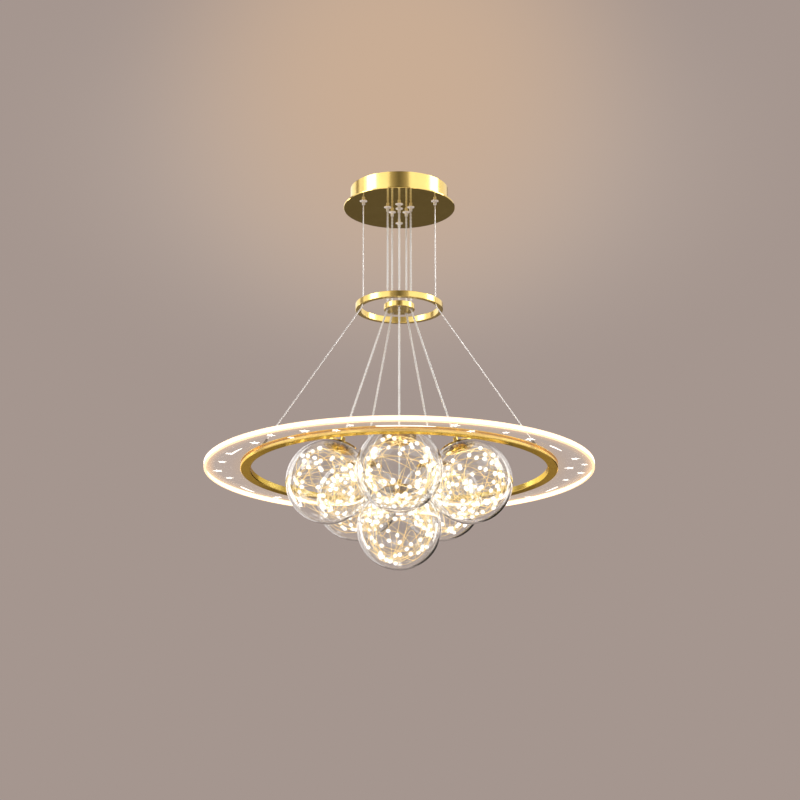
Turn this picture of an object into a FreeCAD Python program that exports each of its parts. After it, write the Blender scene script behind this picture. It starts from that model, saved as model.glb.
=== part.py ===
import FreeCAD, Part
import math
import os

from FreeCAD import Placement, Rotation, Vector

# Ring and globe chandelier that hangs from a ceiling.
# Millimetres, +Z up, -Y is the near side. The origin is on the ceiling plane, at the middle of the
# ceiling bracket, so every height below is a drop from the ceiling.

# Ceiling rose: a drum on a wider round face plate
drum_radius = 78.0
drum_height = 30.0
drum_wall = 1.2
face_plate_overhang = 11.0
face_plate_thickness = 2.0
face_plate_bevel = 0.5

# Ceiling bracket: a steel strip with turned-down ears
bracket_width = 24.0
bracket_thickness = 1.5
bracket_ear_depth = 14.0
bracket_end_clearance = 0.3
bracket_slot_spacing = 88.0
bracket_slot_width = 5.0
bracket_slot_length = 16.0
bracket_cable_hole_radius = 7.0

# Countersunk side screws that hold the drum to the bracket's ears
side_screw_radius = 2.0
side_screw_head_radius = 3.4
side_screw_length = 7.0
side_screw_drop = 8.0
screw_clearance = 0.05

# Driver and terminal block on the inner side of the face plate, held by nuts on welded studs
driver_length = 76.0
driver_width = 26.0
driver_height = 19.0
driver_corner_radius = 3.0
driver_foot_length = 8.0
driver_foot_thickness = 2.0
driver_offset = 44.0
terminal_length = 30.0
terminal_width = 17.0
terminal_height = 14.0
terminal_offset_x = -32.0
terminal_offset_y = 38.0
terminal_poles = 3
terminal_wire_hole_radius = 1.6
terminal_clamp_hole_radius = 1.9
stud_radius = 1.5
stud_thread_stand = 3.4
stud_nut_across_flats = 5.5
stud_nut_height = 2.4
stud_clearance = 0.1

# Cables and cords
cable_radius = 1.0
cord_radius = 1.8
grip_wall_distance = 12.75
cord_circle_radius = 19.3
cable_tail = 6.0
cable_bend_drop = 2.5

# Cable grips and cord glands under the face plate
collar_radius = 5.5
collar_height = 3.0
barrel_radius = 4.0
barrel_height = 16.0
barrel_clearance = 0.1
lock_nut_across_flats = 12.0
lock_nut_height = 4.0
bore_clearance = 0.3
cord_turn_room = 1.1
plunger_radius = 2.5
plunger_flange_radius = 3.0
plunger_flange_height = 6.0
plunger_nose = 4.0
plunger_nose_bevel = 0.8
plunger_clearance = 0.08
plunger_lip = 2.0
plunger_seat_gap = 0.3
plunger_room = 11.0
gland_nose_radius = 2.8
gland_nose = 4.0

# Spreader ring and hub disc
spreader_width = 7.5
spreader_height = 10.0
spreader_drop = 203.8
spreader_bevel = 0.6
cable_hole_radius = 1.25
grub_radius = 1.5
grub_clearance = 0.05
hub_edge = 4.9
hub_height = 8.7
hub_drop = 203.3
hub_bevel = 0.5
bush_wall = 0.8
bush_clearance = 0.05

# Lit ring: a rolled profile with a groove that holds the light strip and the panel's tongue
ring_drop = 461.5
panel_radius = 300.0
panel_width = 55.6
panel_thickness = 8.0
panel_bevel = 0.5
panel_clearance = 0.2
tongue_length = 3.9
profile_width = 15.7
profile_height = 9.0
profile_wall = 1.0
profile_bevel = 1.0
profile_small_bevel = 0.4
groove_height = 4.0
groove_depth = 8.2
groove_top_lip = 1.0
groove_back_wall = 1.2
strip_thickness = 1.2
strip_clearance = 0.3
joint_azimuth = 60.0
joint_slit = 0.3
joiner_angle = 10.0
joiner_clearance = 0.1
joiner_screw_angle = 3.0

# Cable anchors on the ring
post_radius = 3.6
post_height = 6.0
post_bevel = 0.5
post_bore_depth = 3.0
post_bore_clearance = 0.05
post_stud_radius = 1.5
post_stud_length = 4.0
ferrule_radius = 1.8
ferrule_length = 12.0
ferrule_floor = 2.0
ferrule_clearance = 0.05
slide_nut_height = 2.0
slide_nut_clearance = 0.2

# Globes: five lean on a lower one in the middle
globe_radius = 65.0
globe_wall = 2.5
outer_globe_drop = 489.5
globe_neighbour_gap = 3.4
globe_rest_gap = 0.3
glass_hole_radius = 12.5

# Globe caps: a thin dish on the glass, a sleeve through its hole and three spring tongues under it
cap_radius = 27.0
cap_thickness = 1.5
cap_gap = 0.3
sleeve_clearance = 1.0
sleeve_wall = 1.5
sleeve_floor = 1.5
sleeve_reach = 7.5
tongue_overlap = 2.6
tongue_gap = 0.3
tongue_rise = 3.4
tongue_thickness = 0.8
tongue_width = 5.0
tongue_count = 3
nipple_radius = 3.6
nipple_height = 8.1
cord_seat_depth = 4.0

# Light string in each globe: thin wire wound in a loose ball, with a lamp bead at every few bends
string_wire_radius = 0.6
string_turns = 4
string_glass_gap = 10.5
string_top_inset = 16.0
string_bottom_inset = 10.0
string_lean = 9.0
string_lead = 8.0
bead_radius = 1.5
bead_length = 3.6
bead_step = 2
gap_samples_per_turn = 48

cable_places = {"left": -150.0, "right": -30.0, "back": 90.0}
outer_places = {"front": -90.0, "right": -18.0, "back_right": 54.0, "back_left": 126.0, "left": 198.0}

# Sizes that follow from the ones above
face_plate_radius = drum_radius + face_plate_overhang
cable_circle_radius = drum_radius - grip_wall_distance
spreader_outer_radius = cable_circle_radius + spreader_width / 2
spreader_inner_radius = cable_circle_radius - spreader_width / 2
hub_radius = cord_circle_radius + hub_edge
plate_top = -drum_height
plate_under = plate_top - face_plate_thickness
barrel_top = plate_under + barrel_height
spreader_under = -spreader_drop
spreader_top = spreader_under + spreader_height
hub_under = -hub_drop
hub_top = hub_under + hub_height
profile_outer_radius = panel_radius - panel_width - panel_clearance
profile_inner_radius = profile_outer_radius - profile_width
profile_top = -ring_drop + profile_height / 2
profile_under = profile_top - profile_height
groove_ceiling = profile_top - groove_top_lip
groove_floor = groove_ceiling - groove_height
groove_back_radius = profile_outer_radius - groove_depth
chamber_outer_radius = groove_back_radius - groove_back_wall
chamber_inner_radius = profile_inner_radius + profile_wall
chamber_ceiling = profile_top - profile_wall
chamber_floor = profile_under + profile_wall
anchor_radius = (chamber_inner_radius + chamber_outer_radius) / 2
globe_reach = 2 * globe_radius + globe_rest_gap
globe_circle_radius = (globe_radius + globe_neighbour_gap / 2) / math.sin(math.pi / len(outer_places))
centre_globe_drop = outer_globe_drop + math.sqrt(globe_reach ** 2 - globe_circle_radius ** 2)
globe_inner_radius = globe_radius - globe_wall
cap_inner_radius = globe_radius + cap_gap
cap_outer_radius = cap_inner_radius + cap_thickness
sleeve_radius = glass_hole_radius - sleeve_clearance
sleeve_under = globe_inner_radius - sleeve_reach
nipple_top = cap_outer_radius + nipple_height
string_ball_radius = globe_inner_radius - string_glass_gap
string_top = string_ball_radius - string_top_inset
string_bottom = string_bottom_inset - string_ball_radius


def polar(radius, degrees, z):
    angle = math.radians(degrees)
    return Vector(radius * math.cos(angle), radius * math.sin(angle), z)


def cylinder(radius, low, high, x=0.0, y=0.0):
    return Part.makeCylinder(radius, high - low, Vector(x, y, low))


def cylinder_at(radius, place, low, high):
    return cylinder(radius, low, high, place.x, place.y)


def turned(outline):
    # A solid of revolution about Z from (radius, height) corners
    corners = [Vector(radius, 0, height) for radius, height in outline]
    face = Part.Face(Part.makePolygon(corners + corners[:1]))
    return face.revolve(Vector(), Vector(0, 0, 1), 360)


def hexagon(across_flats, low, high, place):
    corner = across_flats / math.sqrt(3)
    points = [place + polar(corner, 60 * step, 0) for step in range(7)]
    points = [Vector(point.x, point.y, low) for point in points]
    return Part.Face(Part.makePolygon(points)).extrude(Vector(0, 0, high - low))


def round_cylinder(radius, start, end):
    along = end - start
    return Part.makeCylinder(radius, along.Length, start, along)


def save(name, solids):
    pieces = solids if isinstance(solids, list) else [solids]
    loose = [solid for piece in pieces for solid in piece.Solids]
    shape = loose[0] if len(loose) == 1 else Part.makeCompound(loose)
    assert shape.isValid(), name
    shape.exportStep(os.path.join("parts", name + ".step"))


def bend_radius(before, corner, after, drop):
    turn = (corner - before).getAngle(after - corner)
    return drop / math.tan(turn / 2)


def bent_tube(start, corner, end, tangent, radius, name):
    # Two straight runs joined by one arc that touches both
    into = (corner - start).normalize()
    out = (end - corner).normalize()
    arc_start = corner - into * tangent
    arc_end = corner + out * tangent
    arc_radius = bend_radius(start, corner, end, tangent)
    inward = (out - into).normalize()
    half_turn = into.getAngle(out) / 2
    arc_middle = corner + inward * (arc_radius / math.cos(half_turn) - arc_radius)
    edges = [
        Part.LineSegment(start, arc_start).toShape(),
        Part.Arc(arc_start, arc_middle, arc_end).toShape(),
        Part.LineSegment(arc_end, end).toShape(),
    ]
    path = Part.Wire(edges)
    section = Part.Wire(Part.Circle(start, into, radius).toShape())
    tube = path.makePipeShell([section], True, False)
    expected = math.pi * radius ** 2 * path.Length
    print(name, "bend radius", round(arc_radius, 2), "length", round(path.Length, 1),
          "volume ratio", round(tube.Volume / expected, 4))
    return tube


def bracket():
    half = drum_radius - drum_wall - bracket_end_clearance
    strip = Part.makeBox(2 * half, bracket_width, bracket_thickness,
                         Vector(-half, -bracket_width / 2, -bracket_thickness))
    ear = Part.makeBox(bracket_thickness, bracket_width, bracket_ear_depth,
                       Vector(half - bracket_thickness, -bracket_width / 2, -bracket_ear_depth))
    body = strip.fuse([ear, ear.mirror(Vector(), Vector(1, 0, 0))]).removeSplitter()
    # The ends follow the drum's round wall
    body = body.common(cylinder(half, -bracket_ear_depth, 0))
    body = body.cut(cylinder(bracket_cable_hole_radius, -bracket_thickness, 0))
    reach = (bracket_slot_length - bracket_slot_width) / 2
    for side in (-1, 1):
        middle = side * bracket_slot_spacing / 2
        slot = Part.makeBox(2 * reach, bracket_slot_width, bracket_thickness,
                            Vector(middle - reach, -bracket_slot_width / 2, -bracket_thickness))
        for end in (-reach, reach):
            slot = slot.fuse(cylinder(bracket_slot_width / 2, -bracket_thickness, 0, middle + end))
        body = body.cut(slot)
    hole = Part.makeCylinder(side_screw_radius + screw_clearance, 2 * half,
                             Vector(-half, 0, -side_screw_drop), Vector(1, 0, 0))
    return body.cut(hole)


def side_screw(grow=0.0):
    # Countersunk screw on the +X side, its flat head flush with the drum
    outer = drum_radius
    head_depth = side_screw_head_radius - side_screw_radius
    head = Part.makeCone(side_screw_radius + grow, side_screw_head_radius + grow, head_depth,
                         Vector(outer - head_depth, 0, -side_screw_drop), Vector(1, 0, 0))
    shank = Part.makeCylinder(side_screw_radius + grow, side_screw_length,
                              Vector(outer - side_screw_length, 0, -side_screw_drop), Vector(1, 0, 0))
    return head.fuse(shank).removeSplitter()


def drum():
    wall = turned([(drum_radius - drum_wall, plate_top), (drum_radius, plate_top),
                   (drum_radius, 0), (drum_radius - drum_wall, 0)])
    hole = side_screw(screw_clearance)
    return wall.cut([hole, hole.mirror(Vector(), Vector(1, 0, 0))])


def stud_places():
    foot_middle = (driver_length + driver_foot_length) / 2
    return [Vector(-foot_middle, -driver_offset, 0), Vector(foot_middle, -driver_offset, 0),
            Vector(terminal_offset_x, terminal_offset_y, 0)]


def stud_seats():
    # Height of the face that each stud's nut bears on
    foot = plate_top + driver_foot_thickness
    return [foot, foot, plate_top + terminal_height]


def grip_places():
    return [polar(cable_circle_radius, azimuth, 0) for azimuth in cable_places.values()]


def gland_places():
    ring = [polar(cord_circle_radius, azimuth, 0) for azimuth in outer_places.values()]
    return ring + [Vector()]


def face_plate():
    plate = turned([
        (0, plate_under), (face_plate_radius - face_plate_bevel, plate_under),
        (face_plate_radius, plate_under + face_plate_bevel), (face_plate_radius, plate_top), (0, plate_top)])
    holes = [cylinder_at(barrel_radius + barrel_clearance, place, plate_under, plate_top)
             for place in grip_places() + gland_places()]
    return plate.cut(holes)


def plate_studs():
    return [cylinder_at(stud_radius, place, plate_top, seat + stud_thread_stand)
            for place, seat in zip(stud_places(), stud_seats())]


def driver():
    case = Part.makeBox(driver_length, driver_width, driver_height,
                        Vector(-driver_length / 2, -driver_offset - driver_width / 2, plate_top))
    upright = [edge for edge in case.Edges if abs(edge.tangentAt(edge.FirstParameter).z) > 0.9]
    case = case.makeFillet(driver_corner_radius, upright)
    foot_span = driver_length + 2 * driver_foot_length
    feet = Part.makeBox(foot_span, driver_width / 2, driver_foot_thickness,
                        Vector(-foot_span / 2, -driver_offset - driver_width / 4, plate_top))
    body = case.fuse(feet).removeSplitter()
    holes = [cylinder_at(stud_radius + stud_clearance, place, plate_top, plate_top + driver_foot_thickness)
             for place in stud_places()[:2]]
    return body.cut(holes)


def terminal_block():
    low = Vector(terminal_offset_x - terminal_length / 2, terminal_offset_y - terminal_width / 2, plate_top)
    block = Part.makeBox(terminal_length, terminal_width, terminal_height, low)
    pitch = terminal_length / (terminal_poles + 1)
    cuts = [cylinder(stud_radius + stud_clearance, plate_top, plate_top + terminal_height,
                     terminal_offset_x, terminal_offset_y)]
    half_bore = terminal_width / 2 - stud_nut_across_flats / 2
    for pole in range(terminal_poles):
        x = low.x + pitch * (pole + 1)
        middle = plate_top + terminal_height / 2
        for side in (-1, 1):
            mouth = Vector(x, terminal_offset_y + side * terminal_width / 2, middle)
            cuts.append(Part.makeCylinder(terminal_wire_hole_radius, half_bore, mouth, Vector(0, -side, 0)))
            clamp_y = terminal_offset_y + side * (terminal_width / 2 - half_bore / 2)
            cuts.append(cylinder(terminal_clamp_hole_radius, middle, plate_top + terminal_height, x, clamp_y))
    return block.cut(cuts)


def stud_nuts():
    nuts = []
    for place, seat in zip(stud_places(), stud_seats()):
        nut = hexagon(stud_nut_across_flats, seat, seat + stud_nut_height, place)
        nuts.append(nut.cut(cylinder_at(stud_radius + screw_clearance, place, seat, seat + stud_nut_height)))
    return nuts


def lock_nuts():
    nuts = []
    for place in grip_places() + gland_places():
        nut = hexagon(lock_nut_across_flats, plate_top, plate_top + lock_nut_height, place)
        hole = cylinder_at(barrel_radius + screw_clearance, place, plate_top, plate_top + lock_nut_height)
        nuts.append(nut.cut(hole))
    return nuts


def grip_body(place):
    # The plunger's flange rests on a lip at the collar's mouth and has room to rise
    collar_under = plate_under - collar_height
    lip_top = collar_under + plunger_lip
    room_top = lip_top + plunger_room
    mouth = plunger_radius + plunger_clearance
    room = plunger_flange_radius + plunger_clearance
    bore = cable_radius + bore_clearance
    body = turned([
        (mouth, collar_under), (collar_radius - face_plate_bevel, collar_under),
        (collar_radius, collar_under + face_plate_bevel), (collar_radius, plate_under),
        (barrel_radius, plate_under), (barrel_radius, barrel_top), (bore, barrel_top),
        (bore, room_top), (room, room_top), (room, lip_top), (mouth, lip_top)])
    return body.translate(place)


def grip_release(place):
    collar_under = plate_under - collar_height
    flange_under = collar_under + plunger_lip + plunger_seat_gap
    flange_top = flange_under + plunger_flange_height
    nose = collar_under - plunger_nose
    bore = cable_radius + bore_clearance
    body = turned([
        (bore, nose), (plunger_radius - plunger_nose_bevel, nose),
        (plunger_radius, nose + plunger_nose_bevel), (plunger_radius, flange_under),
        (plunger_flange_radius, flange_under), (plunger_flange_radius, flange_top), (bore, flange_top)])
    return body.translate(place)


def gland_body(place):
    collar_under = plate_under - collar_height
    nose = collar_under - gland_nose
    bore = cord_radius + bore_clearance
    body = turned([
        (bore, nose), (gland_nose_radius - face_plate_bevel, nose),
        (gland_nose_radius, nose + face_plate_bevel), (gland_nose_radius, collar_under),
        (collar_radius - face_plate_bevel, collar_under), (collar_radius, collar_under + face_plate_bevel),
        (collar_radius, plate_under), (barrel_radius, plate_under), (barrel_radius, barrel_top),
        (bore, barrel_top)])
    return body.translate(place)


def spreader_ring():
    outer, inner, bevel = spreader_outer_radius, spreader_inner_radius, spreader_bevel
    ring = turned([
        (inner + bevel, spreader_under), (outer - bevel, spreader_under), (outer, spreader_under + bevel),
        (outer, spreader_top - bevel), (outer - bevel, spreader_top), (inner + bevel, spreader_top),
        (inner, spreader_top - bevel), (inner, spreader_under + bevel)])
    holes = [cylinder_at(cable_hole_radius, place, spreader_under, spreader_top) for place in grip_places()]
    return ring.cut(holes + spreader_grubs(grub_clearance))


def spreader_grubs(grow=0.0):
    # Each grub screw reaches from the ring's inner wall to its cable
    middle = (spreader_under + spreader_top) / 2
    tip = cable_circle_radius - cable_radius - screw_clearance
    return [round_cylinder(grub_radius + grow, polar(spreader_inner_radius, azimuth, middle),
                           polar(tip, azimuth, middle)) for azimuth in cable_places.values()]


def bush_radius():
    return cord_radius + bore_clearance + bush_wall


def hub_disc():
    disc = turned([
        (0, hub_under), (hub_radius - hub_bevel, hub_under), (hub_radius, hub_under + hub_bevel),
        (hub_radius, hub_top - hub_bevel), (hub_radius - hub_bevel, hub_top), (0, hub_top)])
    return disc.cut([cylinder_at(bush_radius() + bush_clearance, place, hub_under, hub_top)
                     for place in gland_places()])


def hub_bushes():
    return [cylinder_at(bush_radius(), place, hub_under, hub_top).cut(
        cylinder_at(cord_radius + bore_clearance, place, hub_under, hub_top)) for place in gland_places()]


def profile_section():
    outer, inner = profile_outer_radius, profile_inner_radius
    bevel, small = profile_bevel, profile_small_bevel
    return [
        (inner + bevel, profile_under), (outer - bevel, profile_under), (outer, profile_under + bevel),
        (outer, groove_floor), (groove_back_radius, groove_floor), (groove_back_radius, groove_ceiling),
        (outer, groove_ceiling), (outer, profile_top - small), (outer - small, profile_top),
        (inner + small, profile_top), (inner, profile_top - small), (inner, profile_under + bevel)]


def joint_piece(radial_low, radial_high, low, high, angle):
    corner = Vector(radial_low, 0, low)
    face = Part.makePlane(high - low, radial_high - radial_low, corner, Vector(0, 1, 0), Vector(0, 0, 1))
    piece = face.revolve(Vector(), Vector(0, 0, 1), angle)
    return piece.rotate(Vector(), Vector(0, 0, 1), joint_azimuth - angle / 2)


def joiner_screws(grow=0.0):
    middle = (chamber_floor + chamber_ceiling) / 2
    tip = chamber_inner_radius + joiner_clearance + profile_wall
    return [round_cylinder(grub_radius + grow, polar(profile_inner_radius, joint_azimuth + side, middle),
                           polar(tip, joint_azimuth + side, middle))
            for side in (-joiner_screw_angle, joiner_screw_angle)]


def ring_profile():
    ring = turned(profile_section())
    chamber = turned([
        (chamber_inner_radius, chamber_floor), (chamber_outer_radius, chamber_floor),
        (chamber_outer_radius, chamber_ceiling), (chamber_inner_radius, chamber_ceiling)])
    ring = ring.cut(chamber)
    slit = Part.makeBox(profile_outer_radius, joint_slit, profile_height,
                        Vector(profile_inner_radius / 2, -joint_slit / 2, profile_under))
    slit.rotate(Vector(), Vector(0, 0, 1), joint_azimuth)
    stud_holes = [cylinder_at(post_stud_radius + stud_clearance, place, chamber_ceiling, profile_top)
                  for place in anchor_places()]
    return ring.cut([slit] + stud_holes + joiner_screws(grub_clearance))


def ring_joiner():
    gap = joiner_clearance
    block = joint_piece(chamber_inner_radius + gap, chamber_outer_radius - gap,
                        chamber_floor + gap, chamber_ceiling - gap, joiner_angle)
    return block.cut(joiner_screws(grub_clearance))


def light_strip():
    return turned([
        (groove_back_radius + strip_clearance, groove_floor + strip_clearance),
        (groove_back_radius + strip_clearance + strip_thickness, groove_floor + strip_clearance),
        (groove_back_radius + strip_clearance + strip_thickness, groove_ceiling - strip_clearance),
        (groove_back_radius + strip_clearance, groove_ceiling - strip_clearance)])


def acrylic_panel():
    # The inner edge is stepped, and its tongue sits in the ring's groove in front of the strip
    top = -ring_drop + panel_thickness / 2
    under = top - panel_thickness
    shoulder = profile_outer_radius + panel_clearance
    tip = shoulder - tongue_length
    tongue_top = groove_ceiling - panel_clearance
    tongue_under = groove_floor + panel_clearance
    return turned([
        (shoulder, under), (panel_radius - panel_bevel, under), (panel_radius, under + panel_bevel),
        (panel_radius, top - panel_bevel), (panel_radius - panel_bevel, top), (shoulder, top),
        (shoulder, tongue_top), (tip, tongue_top), (tip, tongue_under), (shoulder, tongue_under)])


def anchor_places():
    return [polar(anchor_radius, azimuth, 0) for azimuth in cable_places.values()]


def cable_line(azimuth):
    # Top end, the bend under the spreader ring, and the middle of the anchor post's top
    top = polar(cable_circle_radius, azimuth, barrel_top + cable_tail)
    corner = polar(cable_circle_radius, azimuth, spreader_under - cable_bend_drop)
    foot = polar(anchor_radius, azimuth, profile_top + post_height)
    return top, corner, foot


def cable_direction(azimuth):
    corner, foot = cable_line(azimuth)[1:]
    return (foot - corner).normalize()


def suspension_cable(name, azimuth):
    top, corner, foot = cable_line(azimuth)
    end = foot + cable_direction(azimuth) * (post_bore_depth - ferrule_floor)
    return bent_tube(top, corner, end, cable_bend_drop, cable_radius, name)


def ferrule(azimuth, radius, length):
    foot = cable_line(azimuth)[2]
    along = cable_direction(azimuth)
    base = foot + along * post_bore_depth
    return round_cylinder(radius, base, base - along * length)


def cable_ferrule(azimuth):
    foot = cable_line(azimuth)[2]
    along = cable_direction(azimuth)
    floor = foot + along * (post_bore_depth - ferrule_floor)
    bore = round_cylinder(cable_radius + ferrule_clearance, floor, floor - along * ferrule_length)
    return ferrule(azimuth, ferrule_radius, ferrule_length).cut(bore)


def anchor_post(azimuth):
    top = profile_top + post_height
    post = turned([
        (0, profile_top), (post_radius, profile_top), (post_radius, top - post_bevel),
        (post_radius - post_bevel, top), (0, top)])
    stud = cylinder(post_stud_radius, profile_top - post_stud_length, profile_top)
    post = post.fuse(stud).removeSplitter().translate(polar(anchor_radius, azimuth, 0))
    return post.cut(ferrule(azimuth, ferrule_radius + post_bore_clearance, ferrule_length))


def anchor_nut(azimuth):
    # A square nut that slides in the ring's chamber and is drawn up against its ceiling
    half = (chamber_outer_radius - chamber_inner_radius) / 2 - slide_nut_clearance
    nut = Part.makeBox(2 * half, 2 * half, slide_nut_height,
                       Vector(anchor_radius - half, -half, chamber_ceiling - slide_nut_height))
    nut = nut.cut(cylinder(post_stud_radius + screw_clearance, chamber_ceiling - slide_nut_height,
                           chamber_ceiling, anchor_radius))
    return nut.rotate(Vector(), Vector(0, 0, 1), azimuth)


def globe_glass():
    # Local frame: centre at the origin, its hole along +Z
    shell = Part.makeSphere(globe_radius).cut(Part.makeSphere(globe_inner_radius))
    return shell.cut(cylinder(glass_hole_radius, 0, globe_radius))


def spring_tongue():
    # It springs out under the hole's edge and stops just short of the glass
    tip = glass_hole_radius + tongue_overlap
    top = math.sqrt((globe_inner_radius - tongue_gap) ** 2 - tip ** 2)
    root = sleeve_radius - sleeve_wall / 2
    side = -tongue_width / 2
    corners = [Vector(root, side, top - tongue_rise - tongue_thickness), Vector(tip, side, top - tongue_thickness),
               Vector(tip, side, top), Vector(root, side, top - tongue_rise)]
    return Part.Face(Part.makePolygon(corners + corners[:1])).extrude(Vector(0, tongue_width, 0))


def globe_cap():
    dish = Part.makeSphere(cap_outer_radius).cut(Part.makeSphere(cap_inner_radius))
    dish = dish.common(cylinder(cap_radius, 0, cap_outer_radius))
    sleeve = cylinder(sleeve_radius, sleeve_under, cap_inner_radius + cap_thickness / 2)
    sleeve = sleeve.common(Part.makeSphere(cap_inner_radius + cap_thickness / 2))
    hollow = cylinder(sleeve_radius - sleeve_wall, sleeve_under + sleeve_floor, cap_outer_radius)
    hollow = hollow.common(Part.makeSphere(cap_inner_radius))
    nipple = cylinder(nipple_radius, cap_inner_radius + cap_thickness / 2, nipple_top)
    seat = cylinder(cord_radius + bore_clearance, nipple_top - cord_seat_depth, nipple_top)
    tongues = []
    for step in range(tongue_count):
        tongue = spring_tongue()
        tongues.append(tongue.rotate(Vector(), Vector(0, 0, 1), 360 * step / tongue_count))
    cap = dish.fuse([sleeve, nipple] + tongues)
    return cap.cut([hollow, seat]).removeSplitter()


def winding_point(turn):
    share = turn / string_turns
    height = string_top + (string_bottom - string_top) * share
    angle = 2 * math.pi * turn
    height += string_lean * math.sin(angle)
    radius = math.sqrt(string_ball_radius ** 2 - height ** 2)
    return Vector(radius * math.cos(angle), radius * math.sin(angle), height)


def winding_tangent(turn):
    step = 0.001
    return (winding_point(turn + step) - winding_point(turn - step)).normalize()


def tangent_arc(start, along, end):
    chord = end - start
    across = along - chord * (along.dot(chord) / chord.dot(chord))
    if across.Length < 1e-6:
        return Part.LineSegment(start, end).toShape()
    half_turn = along.getAngle(chord)
    bulge = across.normalize() * (chord.Length / 2 * math.tan(half_turn / 2))
    return Part.Arc(start, (start + end) / 2 + bulge, end).toShape()


def biarc(start, start_along, end, end_along):
    chord = end - start
    both = start_along + end_along
    spread = 2 * (1 - start_along.dot(end_along))
    reach = chord.dot(both)
    if spread < 1e-9:
        length = chord.dot(chord) / (2 * reach)
    else:
        length = (math.sqrt(reach ** 2 + spread * chord.dot(chord)) - reach) / spread
    joint = (start + start_along * length + end - end_along * length) / 2
    first = tangent_arc(start, start_along, joint)
    second = tangent_arc(end, end_along * -1, joint)
    return [first, second]


def six_sided(centre, axis, radius):
    # A six-sided outline keeps the thin wire and its beads to few faces
    return Part.makePolygon(Part.Circle(centre, axis, radius).toShape().discretize(7))


def least_gap(points, own):
    # Least distance between stretches of the winding that aren't neighbours along it
    far = [(a - b).Length for i, a in enumerate(points) for b in points[i + own:]]
    return min(far) - 2 * string_wire_radius


def light_string():
    # Local frame of a globe: down from the cap, then round and down in one unbroken wire
    down = Vector(0, 0, -1)
    start = Vector(0, 0, sleeve_under)
    below = start + down * string_lead
    quarters = [step / 4 for step in range(4 * string_turns + 1)]
    points = [below] + [winding_point(turn) for turn in quarters]
    along = [down] + [winding_tangent(turn) for turn in quarters]
    edges = [Part.LineSegment(start, below).toShape()]
    for index in range(len(points) - 1):
        edges += biarc(points[index], along[index], points[index + 1], along[index + 1])
    path = Part.Wire(Part.__sortEdges__(edges))
    pipe = Part.BRepOffsetAPI.MakePipeShell(path)
    pipe.add(six_sided(start, down, string_wire_radius))
    pipe.build()
    pipe.makeSolid()
    wire = pipe.shape()
    beads = []
    for index in range(2, len(points) - 1, bead_step):
        half = along[index] * (bead_length / 2)
        section = six_sided(points[index] - half, along[index], bead_radius)
        beads.append(Part.Face(section).extrude(half * 2))
    steps = range(gap_samples_per_turn * string_turns + 1)
    samples = [winding_point(step / gap_samples_per_turn) for step in steps]
    gap = least_gap(samples, gap_samples_per_turn // 2)
    section_area = 1.5 * math.sqrt(3) * string_wire_radius ** 2
    print("light string length", round(path.Length, 1), "least gap", round(gap, 2),
          "volume ratio", round(wire.Volume / (section_area * path.Length), 4))
    return wire.fuse(beads).removeSplitter()


def globe_centre(azimuth):
    return polar(globe_circle_radius, azimuth, -outer_globe_drop)


def swing_pivot(azimuth):
    return polar(cord_circle_radius, azimuth, hub_under)


def globe_placement(centre, pivot):
    return Placement(centre, Rotation(Vector(0, 0, 1), pivot - centre))


def upper_feed_cord(azimuth):
    # It ends inside its bush, just above the point where the lower cord turns
    place = swing_pivot(azimuth)
    return cylinder_at(cord_radius, place, hub_under + cord_turn_room, barrel_top + cable_tail)


def cord_foot(centre, pivot):
    along = (pivot - centre).normalize()
    return centre + along * (nipple_top - cord_seat_depth + bore_clearance)


def lower_feed_cord(azimuth):
    pivot = swing_pivot(azimuth)
    return round_cylinder(cord_radius, cord_foot(globe_centre(azimuth), pivot), pivot)


def centre_feed_cord():
    centre = Vector(0, 0, -centre_globe_drop)
    top = Vector(0, 0, barrel_top + cable_tail)
    return round_cylinder(cord_radius, cord_foot(centre, top), top)


def build_ceiling_rose():
    save("ceiling_bracket", bracket())
    save("canopy_drum", drum())
    save("canopy_face_plate", face_plate())
    save("canopy_side_screws", [side_screw(), side_screw().mirror(Vector(), Vector(1, 0, 0))])
    save("plate_studs", plate_studs())
    save("driver_case", driver())
    save("terminal_block", terminal_block())
    save("stud_nuts", stud_nuts())
    save("grip_lock_nuts", lock_nuts())
    save("cable_grip_bodies", [grip_body(place) for place in grip_places()])
    save("cord_gland_bodies", [gland_body(place) for place in gland_places()])
    for name, place in zip(cable_places, grip_places()):
        save("grip_release_" + name, grip_release(place))


def build_spreader_and_hub():
    save("spreader_ring", spreader_ring())
    save("spreader_grub_screws", spreader_grubs())
    save("hub_disc", hub_disc())
    save("hub_bushes", hub_bushes())


def build_lit_ring():
    save("ring_profile", ring_profile())
    save("ring_joiner", ring_joiner())
    save("ring_joiner_screws", joiner_screws())
    save("light_strip", light_strip())
    save("acrylic_panel", acrylic_panel())
    save("anchor_posts", [anchor_post(azimuth) for azimuth in cable_places.values()])
    save("anchor_nuts", [anchor_nut(azimuth) for azimuth in cable_places.values()])
    save("cable_ferrules", [cable_ferrule(azimuth) for azimuth in cable_places.values()])
    for name, azimuth in cable_places.items():
        save("suspension_cable_" + name, suspension_cable("suspension cable " + name, azimuth))


def build_globes():
    glass, cap, string = globe_glass(), globe_cap(), light_string()
    places = {name: (globe_centre(azimuth), swing_pivot(azimuth)) for name, azimuth in outer_places.items()}
    places["centre"] = (Vector(0, 0, -centre_globe_drop), Vector())
    for name, (centre, pivot) in places.items():
        where = globe_placement(centre, pivot)
        for kind, local in (("glass_globe_", glass), ("globe_cap_", cap), ("light_string_", string)):
            piece = local.copy()
            piece.Placement = where
            save(kind + name, piece)
    for name, azimuth in outer_places.items():
        save("upper_feed_cord_" + name, upper_feed_cord(azimuth))
        save("lower_feed_cord_" + name, lower_feed_cord(azimuth))
    save("centre_feed_cord", centre_feed_cord())


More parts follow.
